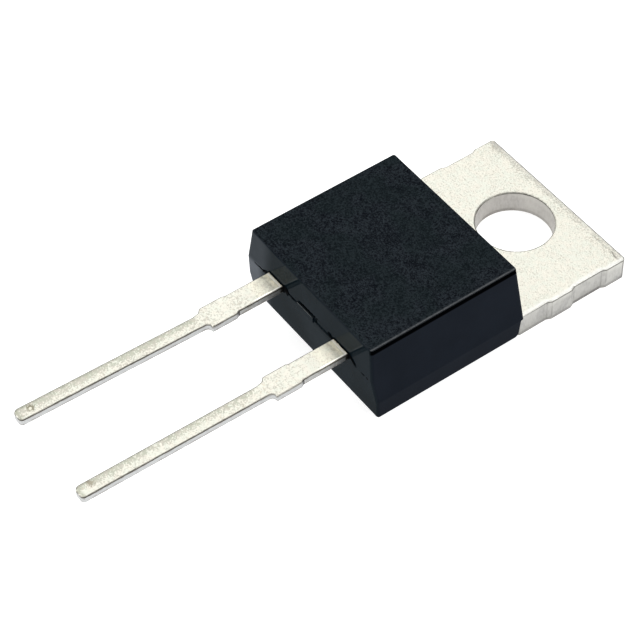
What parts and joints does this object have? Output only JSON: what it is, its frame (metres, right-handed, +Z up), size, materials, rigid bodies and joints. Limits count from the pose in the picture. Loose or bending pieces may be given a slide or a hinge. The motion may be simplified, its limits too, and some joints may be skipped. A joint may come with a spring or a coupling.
{
  "type": "rectifier diode",
  "caption": "Rectifier diode in a flat power package: black moulded body, tinned heat tab with a screw hole, and flat leads.",
  "frame": {"origin": "on the mounting face under the tab, at the middle of the overall width and length", "axes": "+X across the package from the cathode lead to the anode lead, +Y from the lead tips to the end of the tab, +Z up from the mounting face"},
  "size_m": [0.0102, 0.0292, 0.0045],
  "materials": {
    "epoxy": "black filled epoxy, fine matte top, polished sides",
    "tinned_copper": "copper with dull, finely speckled tin plating",
    "silicon": "dark polished silicon",
    "solder": "dull solder",
    "bond_wire": "drawn aluminium"
  },
  "bodies": {
    "root": {"moulded_body": "epoxy", "tab_and_cathode_lead": "tinned_copper", "anode_lead": "tinned_copper", "silicon_die": "silicon", "die_solder": "solder", "bond_wire_1": "bond_wire", "bond_wire_2": "bond_wire"}
  },
  "joints": []
}
